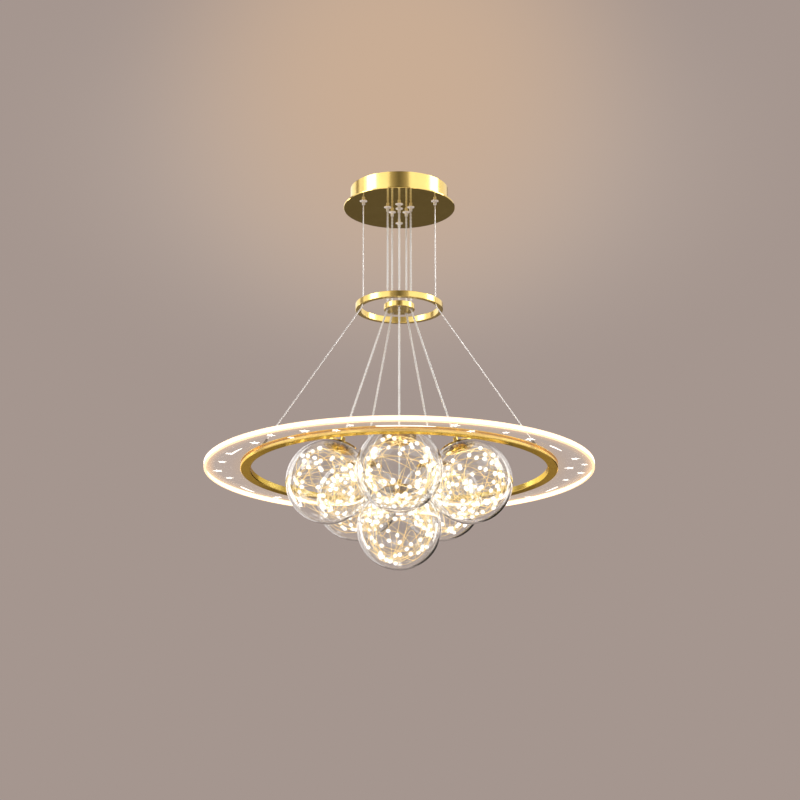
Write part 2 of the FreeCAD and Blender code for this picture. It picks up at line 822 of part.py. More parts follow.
os.makedirs("parts", exist_ok=True)
build_ceiling_rose()
build_spreader_and_hub()
build_lit_ring()
build_globes()
print("globe circle radius", round(globe_circle_radius, 2), "cord tilt",
      round(math.degrees(math.atan((globe_circle_radius - cord_circle_radius) / (outer_globe_drop - hub_drop))), 2))
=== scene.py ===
import math
import random

import bpy
import numpy as np
from mathutils import Matrix, Vector


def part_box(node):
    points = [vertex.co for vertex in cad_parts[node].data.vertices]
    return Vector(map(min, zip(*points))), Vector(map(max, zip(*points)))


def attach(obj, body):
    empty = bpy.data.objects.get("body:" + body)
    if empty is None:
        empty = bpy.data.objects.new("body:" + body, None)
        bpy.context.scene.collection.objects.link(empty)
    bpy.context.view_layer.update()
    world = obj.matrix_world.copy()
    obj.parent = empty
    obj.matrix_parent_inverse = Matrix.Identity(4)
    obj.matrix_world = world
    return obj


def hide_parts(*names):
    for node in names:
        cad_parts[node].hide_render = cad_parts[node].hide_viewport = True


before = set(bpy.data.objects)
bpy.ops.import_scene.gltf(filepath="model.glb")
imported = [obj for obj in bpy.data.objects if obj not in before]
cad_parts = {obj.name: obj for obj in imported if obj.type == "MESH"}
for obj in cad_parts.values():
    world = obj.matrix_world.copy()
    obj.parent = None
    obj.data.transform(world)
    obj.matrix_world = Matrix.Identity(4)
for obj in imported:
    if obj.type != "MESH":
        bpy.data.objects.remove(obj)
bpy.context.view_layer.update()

# Camera: below the lit ring, looking up at the chandelier
CAMERA_PLACE = (0.0012, -2.8919, -1.1695)
CAMERA_PITCH = math.radians(105.81)
CAMERA_LENS = 86.89
CAMERA_SENSOR = 36.0

# Room: a plain floor, and a beige wall with a wash of light and a warm glow on it near the ceiling
FLOOR_HEIGHT = -2.4
FLOOR_SIDE = 40.0
FLOOR_COLOUR = (0.50, 0.42, 0.385)
WALL_COLOUR = (0.376, 0.305, 0.275)
WASH_COLOUR = (0.497, 0.402, 0.345)
WASH_DIRECTION, WASH_SIZE = (0.0, 1.0, 0.385), (0.24, 0.13)
GLOW_COLOUR = (0.585, 0.418, 0.300)
GLOW_DIRECTION, GLOW_SIZE = (0.0, 1.0, 0.43), (0.17, 0.16)
SPOT_DEPTH = 100.0
ROOM_LIGHT = 0.7

# Lamps and dark cards stand round this point and face it. Azimuth 0 is the near side, positive to the right
LIT_MIDDLE = (0.0, 0.0, -0.3)
LAMP_COLOUR = (1.0, 0.98, 0.95)
# Azimuth, elevation, width, height, radiance and distance of each lamp
LAMPS = {
    "left_panel": (-55, 29, 4.0, 2.1, 0.98, 3.6),
    "left_strip": (-69, 29, 1.5, 1.5, 4.2, 3.6),
    "left_side": (-97, 28, 1.45, 2.2, 0.8, 3.6),
    "left_back": (-147, 6, 3.0, 4.4, 0.9, 3.6),
    "right_panel": (49, 29, 3.2, 2.1, 0.98, 3.6),
    "right_strip": (90, 29, 1.5, 1.5, 4.2, 3.6),
    "right_side": (90, 28, 1.9, 2.2, 0.9, 3.6),
    "right_back": (130, 28, 2.6, 2.2, 0.65, 3.6),
    "left_low": (-128, -6, 0.7, 2.2, 4.0, 3.8),
    "right_low": (122, -4, 0.6, 1.8, 4.0, 3.8),
    "top_panel": (0, 80, 3.0, 3.0, 0.6, 3.6),
    "left_glass": (-160, 14, 1.1, 1.3, 0.95, 3.6),
    "right_glass": (161, 14, 0.8, 1.3, 0.95, 3.6),
}
LAMPS_NOT_IN_GLASS = ("left_back", "right_back", "top_panel")
LAMPS_ONLY_IN_GLASS = ("left_glass", "right_glass")
CARD_COLOUR = (0.115, 0.095, 0.070)
FRONT_CARD_ENDS = (0.50, 0.42, 0.34)
LOW_CARD_COLOUR = (0.02, 0.015, 0.01)
# Azimuth, elevation, width, height, distance, and colour in the middle and at the ends of each card
CARDS = {
    "front_card": (0, 26, 2.9, 2.5, 4.2, CARD_COLOUR, FRONT_CARD_ENDS),
    "back_card": (180, -16, 0.8, 0.26, 2.7, CARD_COLOUR, CARD_COLOUR),
    "low_card": (156, -13, 1.8, 1.8, 3.9, LOW_CARD_COLOUR, LOW_CARD_COLOUR),
}
CARDS_IN_GLASS = ("low_card",)

# Cables and cords
CABLE_RADIUS = 0.001
CORD_RADIUS = 0.0018
CABLE_CIRCLE = 0.06525
CORD_CIRCLE = 0.0193
ANCHOR_CIRCLE = 0.23215
TAIL_TOP = -0.010
SPREADER_CORNER = -0.2063
POST_TOP = -0.451
HUB_TURN = -0.2022
HUB_UNDER = -0.2033
CABLE_PLACES = {"left": -150.0, "right": -30.0, "back": 90.0}
OUTER_PLACES = {"front": -90.0, "right": -18.0, "back_right": 54.0, "back_left": 126.0, "left": 198.0}
GLOBE_NAMES = list(OUTER_PLACES) + ["centre"]
CABLE_BEND = 6
CABLE_STEP = 0.0009
CABLE_LAY = 0.014
STRAND_COUNT = 6
STRAND_SHARES = (-0.9, -0.5, 0.0, 0.5, 0.9)
CORD_STEP = 0.0008
PAIR_LAY = 0.011
INSULATION_SIDES = 10
CONDUCTOR_RADIUS = 0.00042
CONDUCTOR_SIDES = 6

# Cable grips and cord glands: a thin domed collar on the face plate, with a barrel through it
COLLAR_RADIUS = 0.0060
COLLAR_EDGE = 0.0004
COLLAR_DOME = 0.0010
COLLAR_LIP = 0.0007
COLLAR_STEPS = 8
BARREL_RADIUS = 0.0040
GRIP_MOUTH = 0.00258
GRIP_ROOM = 0.00308
GRIP_ROOM_TOP = 0.010
GRIP_BORE = 0.0013
GLAND_BORE = 0.0021
GLAND_NOSE_RADIUS = 0.0025
GLAND_NOSE = 0.0058
GLAND_NOSE_BEVEL = 0.0003
FITTING_SEGMENTS = 48
SHARP_ANGLE = math.radians(30)

# Globes
GLOBE_RADIUS = 0.065
GLOBE_WALL = 0.0025
GLOBE_CIRCLE = 0.11348
OUTER_GLOBE_HEIGHT = -0.4895
CENTRE_GLOBE_HEIGHT = -0.55354
GLASS_HOLE = 0.0125
GLASS_POLE = -89.9
GLASS_STEPS = 64
GLASS_LIP_STEPS = 10
GLASS_SEGMENTS = 128
SLEEVE_UNDER = 0.055
CORD_SEAT = 0.0712

# Light strings
STRING_SEED = 40
STRING_INLET = 0.008
STRING_START_AXIS, STRING_START_SPOKE = (0.2, 1.0, 0.1), (0.6, 0, 0.8)
STRING_WANDER = 0.8
STRING_SHIFT = 0.45
STRING_BALL = 0.0618
STRING_DEEPEST = 0.76
STRING_REACH = 0.0582
STRING_CEILING = 0.046
STRING_TURNS = 20
STRING_BENDS = 9
STRING_STEP = 0.0022
STRING_WIRE = 0.00021
STRING_WIRE_SIDES = 5
STRING_TWIN_GAP = 0.0004
STRING_LAY = 0.030
BEAD_COUNT = 60
# Radii of each bead's lit core, its resin drop and its outer glowing shell. The drop and the shell paint a
# soft halo of light round the core.
BEAD_CORE = 0.0012
BEAD_DROP = 0.0021
BEAD_HALO = 0.0034
BEAD_STRETCH = 1.2
BEAD_RINGS = 7
BEAD_SIDES = 10

# Acrylic panel
PANEL_RADIUS = 0.300
PANEL_INNER = 0.2444
PANEL_TONGUE = 0.2405
PANEL_TOP = -0.4575
PANEL_UNDER = -0.4655
TONGUE_TOP = -0.4582
TONGUE_UNDER = -0.4618
PANEL_BEVEL = 0.0005
PANEL_LIT_EDGE = 0.004
PANEL_SEGMENTS = 360
ENGRAVING_LIFT = 0.0001
ENGRAVING_DEPTH = 0.0004
# Azimuth and radius of each engraved star
STARS = [
    (-179, 0.279), (-167, 0.274), (-156, 0.277), (-140, 0.274), (-130, 0.286), (-127, 0.258),
    (-119, 0.277), (-110, 0.262), (-104, 0.282), (-74, 0.284), (-67, 0.262), (-57, 0.279),
    (-46, 0.272), (-17, 0.276), (-9, 0.285), (-5, 0.261), (2, 0.281), (12, 0.267),
    (40, 0.276), (49, 0.285), (55, 0.261), (66, 0.279), (76, 0.268), (103, 0.276),
    (112, 0.285), (118, 0.261), (128, 0.279), (138, 0.267), (171, 0.268)]
STAR_SIZE = 0.0078
STAR_NOTCH = 0.36
# Stars come in three sizes, each this share smaller than the one before, and are turned by this much more
STAR_SIZES, STAR_SHRINK, STAR_TURN = 3, 0.15, 17
# Azimuths of the wide end and the point of each shooting star's stroke
STREAKS = [(-157, -148), (-97, -79), (-36, -28), (22, 30), (84, 96), (158, 149)]
STREAK_RADIUS = 0.272
STREAK_WIDTH = 0.0055
# A stroke of fewer degrees than this is narrower
STREAK_SPAN = 14
STREAK_STEPS = 14
STREAK_BLUNT, STREAK_SWELL = 0.35, 4

# Glow of the lit panel, from its inner edge out, and of its rim, from the underside up
ACRYLIC_ALPHA = 0.05
ACRYLIC_GLOW_STRENGTH = 8.0
ACRYLIC_GLOW = [(0.0, (0.20, 0.13, 0.06)), (0.3, (0.15, 0.11, 0.08)), (0.7, (0.16, 0.13, 0.10)),
                (0.85, (0.48, 0.28, 0.12)), (1.0, (1.0, 0.60, 0.24))]
RIM_STRENGTH = 1.5
RIM_GLOW = [(0.0, (0.66, 0.32, 0.07)), (0.18, (0.74, 0.42, 0.14)), (0.34, (1.0, 0.94, 0.84)),
            (0.66, (1.0, 0.94, 0.84)), (0.82, (0.74, 0.42, 0.14)), (1.0, (0.66, 0.32, 0.07))]

# Surfaces: where a noise's low and high values lie, grains in cells per metre, reliefs in metres
NOISE_LOW, NOISE_HIGH = 0.3, 0.7
METAL_BUMP, METAL_RELIEF = 0.08, 0.00001
# LIT_METAL_GLOW colours both the light strip's own light and the painted glow on the light string wire
LIT_METAL_GRAIN, LIT_METAL_GLOW = 400.0, (1.0, 0.76, 0.36)
PLASTIC_GRAIN, PLASTIC_BUMP, PLASTIC_RELIEF = 600.0, 0.25, 0.00005
GLASS_GRAIN, GLASS_BUMP, GLASS_RELIEF = 14.0, 0.12, 0.002
CORD_GRAIN, CORD_ALPHA = 60.0, 0.78
LIT_GRAIN, LIT_BODY = 300.0, (0.9, 0.88, 0.84)
FLOOR_GRAIN = 3.0
NO_TINT = (1.0, 1.0, 1.0)
GOLD_DARK, GOLD_LIGHT = (0.86, 0.66, 0.215), (0.92, 0.72, 0.25)


def polar(radius, degrees, height):
    angle = math.radians(degrees)
    return Vector((radius * math.cos(angle), radius * math.sin(angle), height))


def globe_frame(name):
    """The globe's centre and the direction from it to the place its cord hangs from."""
    if name == "centre":
        return Vector((0, 0, CENTRE_GLOBE_HEIGHT)), Vector((0, 0, 1))
    centre = polar(GLOBE_CIRCLE, OUTER_PLACES[name], OUTER_GLOBE_HEIGHT)
    pivot = polar(CORD_CIRCLE, OUTER_PLACES[name], HUB_UNDER)
    return centre, (pivot - centre).normalized()


def globe_matrix(name):
    centre, up = globe_frame(name)
    turn = Vector((0, 0, 1)).rotation_difference(up)
    return Matrix.Translation(centre) @ turn.to_matrix().to_4x4()


def globe_body(name):
    return "root" if name == "centre" else "globe_" + name


# Materials

def material(name):
    made = bpy.data.materials.new(name)
    made.use_nodes = True
    tree = made.node_tree
    shader = tree.nodes["Principled BSDF"]
    return made, tree, shader


def noise(tree, scale, detail=4.0, stretch=None):
    """A noise factor in object coordinates, which a stretch can draw out along an axis."""
    place = tree.nodes.new("ShaderNodeTexCoord").outputs["Object"]
    if stretch:
        mapping = tree.nodes.new("ShaderNodeMapping")
        mapping.inputs["Scale"].default_value = stretch
        tree.links.new(place, mapping.inputs["Vector"])
        place = mapping.outputs["Vector"]
    texture = tree.nodes.new("ShaderNodeTexNoise")
    texture.inputs["Scale"].default_value = scale
    texture.inputs["Detail"].default_value = detail
    tree.links.new(place, texture.inputs["Vector"])
    return texture.outputs["Fac"]


def ramp(tree, factor, stops):
    made = tree.nodes.new("ShaderNodeValToRGB")
    elements = made.color_ramp.elements
    while len(elements) < len(stops):
        elements.new(0.5)
    for element, (place, colour) in zip(elements, stops):
        element.position = place
        element.color = (*colour, 1.0) if isinstance(colour, tuple) else (colour, colour, colour, 1.0)
    tree.links.new(factor, made.inputs["Fac"])
    return made.outputs["Color"]


def vary(tree, factor, low, high, socket):
    """Lets a socket drift from low to high with a noise."""
    tree.links.new(ramp(tree, factor, [(NOISE_LOW, low), (NOISE_HIGH, high)]), socket)


def dimmed(colour, share):
    return tuple(share * channel for channel in colour)


def bump(tree, shader, factor, strength, distance):
    made = tree.nodes.new("ShaderNodeBump")
    made.inputs["Strength"].default_value = strength
    made.inputs["Distance"].default_value = distance
    tree.links.new(factor, made.inputs["Height"])
    tree.links.new(made.outputs["Normal"], shader.inputs["Normal"])


def metal(name, dark, light, smooth, rough, grain=90.0, stretch=None, metallic=1.0, edge=NO_TINT):
    """A metal whose colour and gloss drift a little over the surface. Edge is its tint at grazing angles."""
    made, tree, shader = material(name)
    shader.inputs["Metallic"].default_value = metallic
    shader.inputs["Specular Tint"].default_value = (*edge, 1.0)
    drift = noise(tree, grain / 4, 3.0)
    vary(tree, drift, dark, light, shader.inputs["Base Color"])
    fine = noise(tree, grain, 6.0, stretch)
    vary(tree, fine, smooth, rough, shader.inputs["Roughness"])
    bump(tree, shader, fine, METAL_BUMP, METAL_RELIEF)
    return made


def lit_metal(name, colour, rough, glow):
    """Bright metal with a glow in its colour. On the wire the glow is painted light, standing in for the
    light its beads throw on it; on the light strip it is the strip's own light.
    """
    made = metal(name, dimmed(colour, 0.9), colour, rough - 0.05, rough + 0.05, LIT_METAL_GRAIN)
    shader = made.node_tree.nodes["Principled BSDF"]
    shader.inputs["Emission Color"].default_value = (*LIT_METAL_GLOW, 1.0)
    shader.inputs["Emission Strength"].default_value = glow
    return made


def plastic(name, dark, light, rough):
    """A moulded plastic with a fine texture."""
    made, tree, shader = material(name)
    drift = noise(tree, PLASTIC_GRAIN / 20, 3.0)
    vary(tree, drift, dark, light, shader.inputs["Base Color"])
    fine = noise(tree, PLASTIC_GRAIN, 5.0)
    vary(tree, fine, rough - 0.06, rough + 0.06, shader.inputs["Roughness"])
    bump(tree, shader, fine, PLASTIC_BUMP, PLASTIC_RELIEF)
    return made


def clear_glass():
    """Clear glass with a little unevenness from blowing. Lamps shine in through it."""
    made, tree, shader = material("clear_glass")
    shader.inputs["Base Color"].default_value = (0.985, 0.99, 0.99, 1.0)
    shader.inputs["Roughness"].default_value = 0.0
    shader.inputs["IOR"].default_value = 1.47
    shader.inputs["Transmission Weight"].default_value = 1.0
    bump(tree, shader, noise(tree, GLASS_GRAIN, 1.0), GLASS_BUMP, GLASS_RELIEF)
    path = tree.nodes.new("ShaderNodeLightPath")
    through = tree.nodes.new("ShaderNodeBsdfTransparent")
    mix = tree.nodes.new("ShaderNodeMixShader")
    tree.links.new(path.outputs["Is Shadow Ray"], mix.inputs["Fac"])
    tree.links.new(shader.outputs["BSDF"], mix.inputs[1])
    tree.links.new(through.outputs["BSDF"], mix.inputs[2])
    tree.links.new(mix.outputs["Shader"], tree.nodes["Material Output"].inputs["Surface"])
    return made


def clear_acrylic():
    """Acrylic with light fed in at its edges: clear, and brighter towards the lit rim."""
    made, tree, shader = material("clear_acrylic")
    shader.inputs["Base Color"].default_value = (0.60, 0.59, 0.57, 1.0)
    shader.inputs["Roughness"].default_value = 0.05
    shader.inputs["Alpha"].default_value = ACRYLIC_ALPHA
    place = tree.nodes.new("ShaderNodeTexCoord").outputs["Object"]
    flat = tree.nodes.new("ShaderNodeVectorMath")
    flat.operation = "MULTIPLY"
    flat.inputs[1].default_value = (1, 1, 0)
    tree.links.new(place, flat.inputs[0])
    away = tree.nodes.new("ShaderNodeVectorMath")
    away.operation = "LENGTH"
    tree.links.new(flat.outputs["Vector"], away.inputs[0])
    share = tree.nodes.new("ShaderNodeMapRange")
    share.inputs["From Min"].default_value = PANEL_INNER
    share.inputs["From Max"].default_value = PANEL_RADIUS
    tree.links.new(away.outputs["Value"], share.inputs["Value"])
    tree.links.new(ramp(tree, share.outputs["Result"], ACRYLIC_GLOW), shader.inputs["Emission Color"])
    shader.inputs["Emission Strength"].default_value = ACRYLIC_GLOW_STRENGTH
    return made


def lit_rim():
    """The panel's lit rim: white, and warmer along its two edges."""
    made, tree, shader = material("lit_rim")
    shader.inputs["Base Color"].default_value = (*LIT_BODY, 1.0)
    shader.inputs["Roughness"].default_value = 0.3
    place = tree.nodes.new("ShaderNodeSeparateXYZ")
    tree.links.new(tree.nodes.new("ShaderNodeTexCoord").outputs["Object"], place.inputs["Vector"])
    share = tree.nodes.new("ShaderNodeMapRange")
    share.inputs["From Min"].default_value = PANEL_UNDER
    share.inputs["From Max"].default_value = PANEL_TOP
    tree.links.new(place.outputs["Z"], share.inputs["Value"])
    tree.links.new(ramp(tree, share.outputs["Result"], RIM_GLOW), shader.inputs["Emission Color"])
    shader.inputs["Emission Strength"].default_value = RIM_STRENGTH
    return made


def lit(name, colour, strength):
    """A lit surface, a little uneven."""
    made, tree, shader = material(name)
    shader.inputs["Base Color"].default_value = (*LIT_BODY, 1.0)
    shader.inputs["Roughness"].default_value = 0.3
    shader.inputs["Emission Strength"].default_value = strength
    vary(tree, noise(tree, LIT_GRAIN, 2.0), dimmed(colour, 0.9), colour, shader.inputs["Emission Color"])
    return made


def glowing(name, colour, strength, alpha):
    """A clear body filled with faint light. It paints a soft halo of light round the lamp beads."""
    made, _, shader = material(name)
    shader.inputs["Base Color"].default_value = (*colour, 1.0)
    shader.inputs["Roughness"].default_value = 0.1
    shader.inputs["Alpha"].default_value = alpha
    shader.inputs["Emission Color"].default_value = (*colour, 1.0)
    shader.inputs["Emission Strength"].default_value = strength
    return made


def cord_plastic():
    """Clear glossy insulation."""
    made, tree, shader = material("cord_plastic")
    drift = noise(tree, CORD_GRAIN, 2.0)
    vary(tree, drift, (0.95, 0.94, 0.92), (0.99, 0.99, 0.98), shader.inputs["Base Color"])
    shader.inputs["Roughness"].default_value = 0.12
    shader.inputs["Alpha"].default_value = CORD_ALPHA
    shader.inputs["Coat Weight"].default_value = 0.5
    return made


MATERIALS = {
    "drum_gold": metal("drum_gold", GOLD_DARK, GOLD_LIGHT, 0.15, 0.20, 120.0, (1, 1, 0.04)),
    "mirror_gold": metal("mirror_gold", GOLD_DARK, GOLD_LIGHT, 0.03, 0.07),
    "satin_gold": metal("satin_gold", (0.86, 0.65, 0.16), (0.94, 0.74, 0.205), 0.12, 0.22, 240.0, (1, 1, 30),
                        edge=(0.77, 0.61, 0.36)),
    "cap_gold": metal("cap_gold", (0.60, 0.42, 0.13), (0.72, 0.51, 0.17), 0.06, 0.12,
                      edge=(0.80, 0.60, 0.25)),
    "chrome": metal("chrome", (0.95, 0.95, 0.95), (0.99, 0.99, 0.99), 0.08, 0.16, metallic=0.15),
    "zinc": metal("zinc", (0.55, 0.56, 0.58), (0.70, 0.71, 0.72), 0.28, 0.42, 160.0),
    "steel": metal("steel", (0.50, 0.50, 0.51), (0.64, 0.64, 0.65), 0.22, 0.34, 300.0),
    "cable_steel": metal("cable_steel", (0.80, 0.80, 0.80), (0.93, 0.93, 0.93), 0.25, 0.4, 500.0),
    "dark_steel": metal("dark_steel", (0.05, 0.05, 0.05), (0.09, 0.085, 0.08), 0.25, 0.4, 300.0),
    "aluminium": metal("aluminium", (0.68, 0.68, 0.69), (0.78, 0.78, 0.79), 0.25, 0.4, 200.0, (1, 1, 20)),
    # The wire's emission is a painted glow, standing in for the light of the beads on it
    "gold_wire": lit_metal("gold_wire", (1.0, 0.80, 0.42), 0.18, 0.4),
    "driver_plastic": plastic("driver_plastic", (0.78, 0.78, 0.76), (0.86, 0.86, 0.84), 0.5),
    "terminal_plastic": plastic("terminal_plastic", (0.70, 0.69, 0.64), (0.80, 0.79, 0.74), 0.42),
    "silicone": plastic("silicone", (0.72, 0.71, 0.67), (0.82, 0.81, 0.77), 0.4),
    "cord_plastic": cord_plastic(),
    "clear_glass": clear_glass(),
    "clear_acrylic": clear_acrylic(),
    "lit_rim": lit_rim(),
    "lit_engraving": lit("lit_engraving", (1.0, 0.96, 0.88), 1.5),
    "lit_edge": lit("lit_edge", (1.0, 0.60, 0.24), 1.05),
    "lit_strip": lit_metal("lit_strip", (0.74, 0.53, 0.13), 0.20, 0.15),
    "bead_core": lit("bead_core", (1.0, 0.98, 0.95), 6.0),
    # The bead's drop and outer shell glow with painted light, a soft halo round the lit core
    "bead_drop": glowing("bead_drop", (1.0, 0.97, 0.93), 1.3, 0.45),
    "bead_halo": glowing("bead_halo", (1.0, 0.97, 0.93), 1.05, 0.2),
}

NODE_LOOKS = {
    "drum_gold": ["canopy_drum", "spreader_ring", "hub_disc"],
    "mirror_gold": ["canopy_face_plate", "anchor_posts"],
    "cap_gold": ["globe_cap_" + name for name in GLOBE_NAMES],
    "satin_gold": ["ring_profile"],
    "chrome": ["grip_release_" + name for name in CABLE_PLACES],
    "zinc": ["ceiling_bracket", "plate_studs"],
    "steel": ["canopy_side_screws", "stud_nuts", "grip_lock_nuts", "spreader_grub_screws",
              "ring_joiner_screws", "anchor_nuts"],
    "dark_steel": ["cable_ferrules"],
    "aluminium": ["ring_joiner"],
    "driver_plastic": ["driver_case"],
    "terminal_plastic": ["terminal_block"],
    "silicone": ["hub_bushes"],
    "lit_strip": ["light_strip"],
}


def dress_nodes():
    for look, nodes in NODE_LOOKS.items():
        for node in nodes:
            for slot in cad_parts[node].material_slots:
                slot.material = MATERIALS[look]


# Meshes

def mesh_object(name, points, faces, looks, face_looks=None, smooth=True):
    mesh = bpy.data.meshes.new(name)
    mesh.from_pydata([tuple(point) for point in points], [], faces)
    for look in looks:
        mesh.materials.append(MATERIALS[look])
    if face_looks is not None:
        mesh.polygons.foreach_set("material_index", face_looks)
    mesh.polygons.foreach_set("use_smooth", [smooth] * len(mesh.polygons))
    mesh.update()
    made = bpy.data.objects.new(name, mesh)
    bpy.context.scene.collection.objects.link(made)
    return made


def add_tube(points, faces, sections):
    """Adds rings of points joined into a tube, and closes both ends."""
    sides = len(sections[0])
    start = len(points)
    for section in sections:
        points.extend(section)
    for ring in range(len(sections) - 1):
        low = start + ring * sides
        for side in range(sides):
            after = (side + 1) % sides
            faces.append((low + side, low + after, low + sides + after, low + sides + side))
    faces.append(tuple(start + side for side in reversed(range(sides))))
    last = start + (len(sections) - 1) * sides
    faces.append(tuple(last + side for side in range(sides)))


def frames_along(line):
    """Along, and two directions across, at each point of a line, with no twist of their own."""
    last = len(line) - 1
    tangents = [(line[min(i + 1, last)] - line[max(i - 1, 0)]).normalized() for i in range(len(line))]
    across = tangents[0].orthogonal().normalized()
    frames = []
    for tangent in tangents:
        across = (across - tangent * across.dot(tangent)).normalized()
        frames.append((tangent, across, tangent.cross(across)))
    return frames


def smooth_route(control):
    """The points of the NURBS line that the control points shape."""
    curve = bpy.data.curves.new("route", "CURVE")
    curve.dimensions = "3D"
    curve.resolution_u = 24
    spline = curve.splines.new("NURBS")
    spline.points.add(len(control) - 1)
    for point, place in zip(spline.points, control):
        point.co = (*place, 1.0)
    spline.order_u = 3
    spline.use_endpoint_u = True
    holder = bpy.data.objects.new("route", curve)
    mesh = bpy.data.meshes.new_from_object(holder)
    line = [vertex.co.copy() for vertex in mesh.vertices]
    bpy.data.objects.remove(holder)
    bpy.data.curves.remove(curve)
    bpy.data.meshes.remove(mesh)
    return line


def evenly(line, step):
    """Points about a step apart along a line, and how far along it each one is."""
    places = np.array([tuple(point) for point in line])
    along = np.concatenate([[0], np.cumsum(np.linalg.norm(np.diff(places, axis=0), axis=1))])
    at = np.linspace(0, along[-1], max(2, round(along[-1] / step) + 1))
    spaced = np.stack([np.interp(at, along, places[:, axis]) for axis in range(3)], axis=1)
    return [Vector(point) for point in spaced], list(at)


def round_section(centre, across, other, radius, sides):
    turns = [2 * math.pi * side / sides for side in range(sides)]
    return [centre + across * (radius * math.cos(t)) + other * (radius * math.sin(t)) for t in turns]


def strand_outline():
    """Radius and angle round a rope of strands laid side by side, in shares of the rope's radius."""
    outline = []
    for strand in range(STRAND_COUNT):
        for share in STRAND_SHARES:
            off = share * math.pi / STRAND_COUNT
            radius = (2 * math.cos(off) + math.sqrt(1 - (2 * math.sin(off)) ** 2)) / 3
            outline.append((radius, 2 * math.pi * strand / STRAND_COUNT + off))
    return outline


def wire_rope(name, control):
    line, along = evenly(smooth_route(control), CABLE_STEP)
    outline = strand_outline()
    sections = []
    for (_, across, other), centre, distance in zip(frames_along(line), line, along):
        turn = 2 * math.pi * distance / CABLE_LAY
        sections.append([centre + (across * math.cos(angle + turn) + other * math.sin(angle + turn))
                         * (radius * CABLE_RADIUS) for radius, angle in outline])
    points, faces = [], []
    add_tube(points, faces, sections)
    return mesh_object(name, points, faces, ["cable_steel"]), line


def twin_cord(name, control):
    """Two clear insulated conductors twisted together."""
    line, along = evenly(smooth_route(control), CORD_STEP)
    half = CORD_RADIUS / 2
    points, faces, looks = [], [], []
    for wire in (0, 1):
        centres = []
        for (_, across, other), centre, distance in zip(frames_along(line), line, along):
            turn = 2 * math.pi * distance / PAIR_LAY + math.pi * wire
            centres.append(centre + (across * math.cos(turn) + other * math.sin(turn)) * half)
        for radius, sides, look in ((half, INSULATION_SIDES, 0), (CONDUCTOR_RADIUS, CONDUCTOR_SIDES, 1)):
            before = len(faces)
            sections = [round_section(centre, across, other, radius, sides)
                        for centre, (_, across, other) in zip(centres, frames_along(centres))]
            add_tube(points, faces, sections)
            looks += [look] * (len(faces) - before)
    return mesh_object(name, points, faces, ["cord_plastic", "chrome"], looks), line


def add_turned(points, faces, outline, segments, matrix):
    """Adds a solid of revolution about Z from a closed outline of (radius, height)."""
    first, count = len(points), len(outline)
    for step in range(segments):
        angle = 2 * math.pi * step / segments
        for radius, height in outline:
            points.append(matrix @ Vector((radius * math.cos(angle), radius * math.sin(angle), height)))
    for step in range(segments):
        near, far = first + step * count, first + ((step + 1) % segments) * count
        for edge in range(count):
            after = (edge + 1) % count
            faces.append((near + edge, far + edge, far + after, near + after))


def turned(name, outline, looks, outline_looks, segments, matrix=Matrix()):
    """One solid of revolution, with one look per edge of its outline."""
    points, faces = [], []
    add_turned(points, faces, outline, segments, matrix)
    return mesh_object(name, points, faces, looks, outline_looks * segments)


def arc(centre, radius, start, end, steps):
    """Points (radius, height) on an arc, angles in degrees from the horizontal."""
    angles = [math.radians(start + (end - start) * step / steps) for step in range(steps + 1)]
    return [(centre[0] + radius * math.cos(a), centre[1] + radius * math.sin(a)) for a in angles]


# Cords first: their routes are the ones of the solids that they replace

def cable_route(azimuth):
    """Down from the canopy, round the hole's edge under the spreader ring, and out to the anchor post."""
    top = polar(CABLE_CIRCLE, azimuth, TAIL_TOP)
    corner = polar(CABLE_CIRCLE, azimuth, SPREADER_CORNER)
    foot = polar(ANCHOR_CIRCLE, azimuth, POST_TOP)
    near = CABLE_BEND * 2 * CABLE_RADIUS
    above = corner + Vector((0, 0, near))
    below = corner + (foot - corner).normalized() * near
    return [top, above, corner, below, foot]


def make_cables():
    for name, azimuth in CABLE_PLACES.items():
        control = cable_route(azimuth)
        piece, line = wire_rope("cable_" + name, control)
        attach(piece, "root")
        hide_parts("suspension_cable_" + name)


def make_feed_cords():
    for name, azimuth in OUTER_PLACES.items():
        upper = [polar(CORD_CIRCLE, azimuth, TAIL_TOP), polar(CORD_CIRCLE, azimuth, HUB_TURN)]
        declare_feed_cord("upper_cord_" + name, upper, "root", "upper_feed_cord_" + name)
        centre, up = globe_frame(name)
        lower = [polar(CORD_CIRCLE, azimuth, HUB_UNDER), centre + up * CORD_SEAT]
        declare_feed_cord("lower_cord_" + name, lower, "globe_" + name, "lower_feed_cord_" + name)
    centre, up = globe_frame("centre")
    whole = [Vector((0, 0, TAIL_TOP)), centre + up * CORD_SEAT]
    declare_feed_cord("centre_cord", whole, "root", "centre_feed_cord")


def declare_feed_cord(name, control, body, node):
    piece, line = twin_cord(name, control)
    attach(piece, body)
    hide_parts(node)


# Cable grips and cord glands. Heights are from the face plate's underside, and None is the fitting's top

def collar_outline(mouth):
    """From the mouth out over the collar's domed underside to its top."""
    outline = []
    for step in range(COLLAR_STEPS + 1):
        share = step / COLLAR_STEPS
        height = -COLLAR_EDGE - COLLAR_DOME * (1 - share ** 2)
        outline.append((mouth + (COLLAR_RADIUS - mouth) * share, height))
    return outline + [(COLLAR_RADIUS, 0), (BARREL_RADIUS, 0)]


def make_fittings(name, node, places, outline):
    """One piece of equal turned fittings that replaces a node."""
    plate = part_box("canopy_face_plate")[0][2]
    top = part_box(node)[1][2] - plate
    outline = [(radius, top if height is None else height) for radius, height in outline]
    points, faces = [], []
    for place in places:
        matrix = Matrix.Translation(place + Vector((0, 0, plate)))
        add_turned(points, faces, outline, FITTING_SEGMENTS, matrix)
    piece = mesh_object(name, points, faces, ["chrome"])
    piece.data.set_sharp_from_angle(angle=SHARP_ANGLE)
    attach(piece, "root")
    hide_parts(node)


